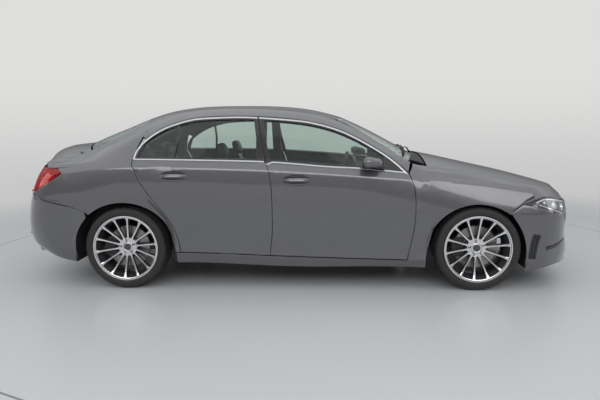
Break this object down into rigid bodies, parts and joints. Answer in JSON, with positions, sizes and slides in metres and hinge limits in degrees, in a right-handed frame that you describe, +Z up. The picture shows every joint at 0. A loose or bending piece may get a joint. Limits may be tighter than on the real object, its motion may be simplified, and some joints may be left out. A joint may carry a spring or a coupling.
{
  "type": "sedan car",
  "caption": "Four-door sedan car with metallic grey body, hollow glazed cabin, opening doors, bonnet and boot lid, steered front wheels and multi-spoke alloy wheels.",
  "frame": {"origin": "on the ground, at the middle of the car's length and width", "axes": "+X forwards, +Y to the car's left, +Z up"},
  "size_m": [4.5474, 2.0232, 1.4467],
  "materials": {
    "grey_paint": "metallic mid-grey paint under clear coat",
    "black_trim": "black moulded trim",
    "window_glass": "green-tinted safety glass",
    "alloy": "machined and painted alloy wheel",
    "tyre_rubber": "black tyre rubber",
    "cast_parts": "cast and pressed running gear",
    "exhaust_steel": "exhaust steel",
    "underbody": "dark painted body structure",
    "seat_cloth": "dark seat cloth",
    "cabin_plastic": "grained soft plastic",
    "clear_lamp": "clear lamp lens over bright reflectors",
    "red_lamp": "red lamp lens"
  },
  "bodies": {
    "body": {"body_side_right": "grey_paint", "body_side_left": "grey_paint", "front_wing_right": "grey_paint", "front_wing_left": "grey_paint", "roof_panel": "grey_paint", "windscreen": "window_glass", "rear_window": "window_glass", "cowl": "black_trim", "front_bumper": "grey_paint", "rear_bumper": "grey_paint", "grille": "black_trim", "headlamps": "clear_lamp", "tail_lamps": "red_lamp", "side_skirts": "grey_paint", "front_axle": "cast_parts", "rear_axle": "cast_parts", "engine": "cast_parts", "exhaust": "exhaust_steel", "floor_pan": "underbody", "front_seats": "seat_cloth", "rear_seat": "seat_cloth", "dashboard": "cabin_plastic", "parcel_shelf": "seat_cloth", "front_plate_holder": "black_trim"},
    "front_door_right": {"front_door_right": "grey_paint", "front_door_glass_right": "window_glass", "door_mirror_right": "grey_paint"},
    "rear_door_right": {"rear_door_right": "grey_paint", "rear_door_glass_right": "window_glass"},
    "knuckle_right": {"knuckle_right": "cast_parts"},
    "wheel_front_right": {"wheel_front_right": "alloy", "tyre_front_right": "tyre_rubber"},
    "wheel_rear_right": {"wheel_rear_right": "alloy", "tyre_rear_right": "tyre_rubber"},
    "front_door_left": {"front_door_left": "grey_paint", "front_door_glass_left": "window_glass", "door_mirror_left": "grey_paint"},
    "rear_door_left": {"rear_door_left": "grey_paint", "rear_door_glass_left": "window_glass"},
    "knuckle_left": {"knuckle_left": "cast_parts"},
    "wheel_front_left": {"wheel_front_left": "alloy", "tyre_front_left": "tyre_rubber"},
    "wheel_rear_left": {"wheel_rear_left": "alloy", "tyre_rear_left": "tyre_rubber"},
    "bonnet": {"bonnet": "grey_paint"},
    "boot_lid": {"boot_lid": "grey_paint", "boot_lamps": "red_lamp", "rear_plate_holder": "black_trim"},
    "steering_wheel": {"steering_wheel": "cabin_plastic"}
  },
  "joints": [
    {"name": "front_door_right_hinge", "type": "hinge", "parent": "body", "child": "front_door_right", "pos_m": [0.87898, -0.86819, 0.55], "axis": [0, 0, 1], "range_deg": [0, 68]},
    {"name": "rear_door_right_hinge", "type": "hinge", "parent": "body", "child": "rear_door_right", "pos_m": [-0.21159, -0.86892, 0.55], "axis": [0, 0, 1], "range_deg": [0, 70]},
    {"name": "front_door_left_hinge", "type": "hinge", "parent": "body", "child": "front_door_left", "pos_m": [0.87898, 0.86819, 0.55], "axis": [0, 0, 1], "range_deg": [-68, 0]},
    {"name": "rear_door_left_hinge", "type": "hinge", "parent": "body", "child": "rear_door_left", "pos_m": [-0.21159, 0.86892, 0.55], "axis": [0, 0, 1], "range_deg": [-70, 0]},
    {"name": "bonnet_hinge", "type": "hinge", "parent": "body", "child": "bonnet", "pos_m": [0.95, 0, 0.945], "axis": [0, -1, 0], "range_deg": [0, 50]},
    {"name": "boot_lid_hinge", "type": "hinge", "parent": "body", "child": "boot_lid", "pos_m": [-1.64, 0, 1.075], "axis": [0, 1, 0], "range_deg": [0, 70]},
    {"name": "steering_left", "type": "hinge", "parent": "body", "child": "knuckle_left", "pos_m": [1.4175, 0.703, 0.325], "axis": [0, 0, 1], "range_deg": [-35, 35]},
    {"name": "steering_right", "type": "hinge", "parent": "body", "child": "knuckle_right", "pos_m": [1.4175, -0.703, 0.325], "axis": [0, 0, 1], "range_deg": [-35, 35]},
    {"name": "steering_wheel_turn", "type": "hinge", "parent": "body", "child": "steering_wheel", "pos_m": [0.3975, 0.37, 0.83], "axis": [-0.9135, 0, 0.4067], "range_deg": [-490, 490]},
    {"name": "wheel_front_right_spin", "type": "hinge", "parent": "knuckle_right", "child": "wheel_front_right", "pos_m": [1.4175, -0.778, 0.325], "axis": [0, 1, 0], "continuous": true},
    {"name": "wheel_front_left_spin", "type": "hinge", "parent": "knuckle_left", "child": "wheel_front_left", "pos_m": [1.4175, 0.778, 0.325], "axis": [0, 1, 0], "continuous": true},
    {"name": "wheel_rear_right_spin", "type": "hinge", "parent": "body", "child": "wheel_rear_right", "pos_m": [-1.3115, -0.775, 0.325], "axis": [0, 1, 0], "continuous": true},
    {"name": "wheel_rear_left_spin", "type": "hinge", "parent": "body", "child": "wheel_rear_left", "pos_m": [-1.3115, 0.775, 0.325], "axis": [0, 1, 0], "continuous": true}
  ],
  "couplings": [
    {"joint": "steering_right", "follows": "steering_left", "ratio": 1},
    {"joint": "steering_wheel_turn", "follows": "steering_left", "ratio": 14}
  ]
}
